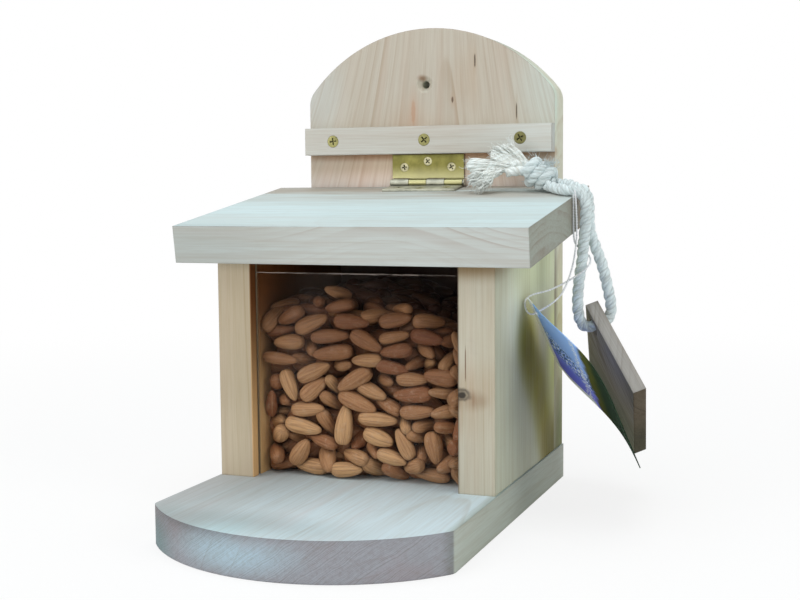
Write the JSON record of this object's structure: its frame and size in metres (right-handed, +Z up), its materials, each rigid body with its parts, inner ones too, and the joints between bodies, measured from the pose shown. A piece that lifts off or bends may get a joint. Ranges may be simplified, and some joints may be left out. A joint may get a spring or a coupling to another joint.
{
  "type": "squirrel feeding station",
  "caption": "Wall-hung timber nut hopper with an arched back board, sloping hinged lid, clear front, bow-fronted ledge, and a rope-hung wooden tag and card tag over the lid's end.",
  "frame": {"origin": "middle of the footprint of the timber box and lid, on the underside of the base", "axes": "+X to the right seen from the front, +Y to the back board, +Z up"},
  "size_m": [0.2648, 0.2747, 0.297],
  "materials": {
    "timber": "planed softwood, unfinished",
    "clear_pane": "clear sheet",
    "brass": "brass-plated, satin",
    "plated_screws": "yellow plated",
    "nuts": "brown skins",
    "rope": "twisted cotton",
    "tag_wood": "stained",
    "card": "printed card, plain colours",
    "string": "thin cotton string"
  },
  "bodies": {
    "box": {"base_board": "timber", "back_board": "timber", "left_side": "timber", "right_side": "timber", "batten": "timber", "hinge_back_leaf": "brass", "hinge_pin": "brass", "hinge_back_screws": "plated_screws", "batten_screws": "plated_screws", "back_screws": "plated_screws", "base_screws": "plated_screws", "almond_heap": "nuts", "almonds": "nuts"},
    "lid": {"lid_board": "timber", "hinge_lid_leaf": "brass", "hinge_lid_screws": "plated_screws", "rope_knot": "rope", "rope_tails": "rope", "rope_over_lid": "rope"},
    "pane": {"window_pane": "clear_pane"},
    "hung_rope": {"rope_loop": "rope", "tag_string": "string"},
    "hung_tag": {"wood_tag": "tag_wood"},
    "hung_card": {"card_tag": "card"}
  },
  "joints": [
    {"name": "lid_hinge", "type": "hinge", "parent": "box", "child": "lid", "pos_m": [0, 0.11205, 0.19609], "axis": [-1, 0, 0], "range_deg": [0, 85], "deforming": ["rope_knot", "rope_tails"]},
    {"name": "rope_hang", "type": "hinge", "parent": "lid", "child": "hung_rope", "pos_m": [0.1084, 0.075, 0.1913], "axis": [-1, 0, 0], "range_deg": [-85, 0]},
    {"name": "tag_swing", "type": "hinge", "parent": "hung_rope", "child": "hung_tag", "pos_m": [0.12187, 0.0805, 0.10968], "axis": [0.8407, 0.4233, 0.3377], "range_deg": [-20, 20]},
    {"name": "card_swing", "type": "hinge", "parent": "hung_rope", "child": "hung_card", "pos_m": [0.0941, 0.0378, 0.1196], "axis": [0.7631, 0.381, 0.522], "range_deg": [-12, 12]},
    {"name": "pane_lift", "type": "slide", "parent": "box", "child": "pane", "axis": [0, 0, 1], "range_m": [0, 0.0075]}
  ],
  "couplings": [
    {"joint": "rope_hang", "follows": "lid_hinge", "ratio": -1}
  ]
}
